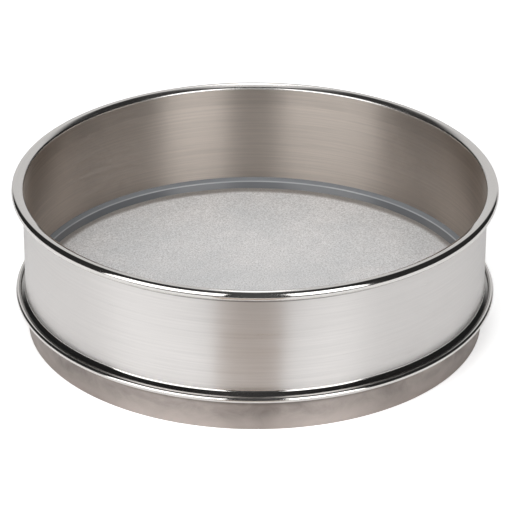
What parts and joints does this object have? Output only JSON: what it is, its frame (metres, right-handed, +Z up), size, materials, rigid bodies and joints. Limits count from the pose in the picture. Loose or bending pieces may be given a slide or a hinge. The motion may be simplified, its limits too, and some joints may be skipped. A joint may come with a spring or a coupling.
{
  "type": "test sieve",
  "caption": "Round laboratory test sieve: a spun steel frame with a rolled rim, seamed to a straight skirt over a disc of fine woven wire cloth with a grey sealing ring.",
  "frame": {"origin": "centre of the circle of the skirt's bottom edge, on the plane the sieve stands on", "axes": "+Z up along the axis of the sieve towards the mouth; +X right and -Y front, with the skirt's weld near the front"},
  "size_m": [0.211, 0.211, 0.0665],
  "materials": {
    "frame_steel": "spun stainless steel, fine rings round the wall, polished rim",
    "skirt_steel": "dull satin stainless steel, slightly stained",
    "seal": "smooth grey cast sealant",
    "cloth": "fine plain weave, matt from a step away"
  },
  "bodies": {
    "root": {"upper_frame": "frame_steel", "skirt": "skirt_steel", "sealing_ring": "seal", "wire_cloth": "cloth"}
  },
  "joints": []
}
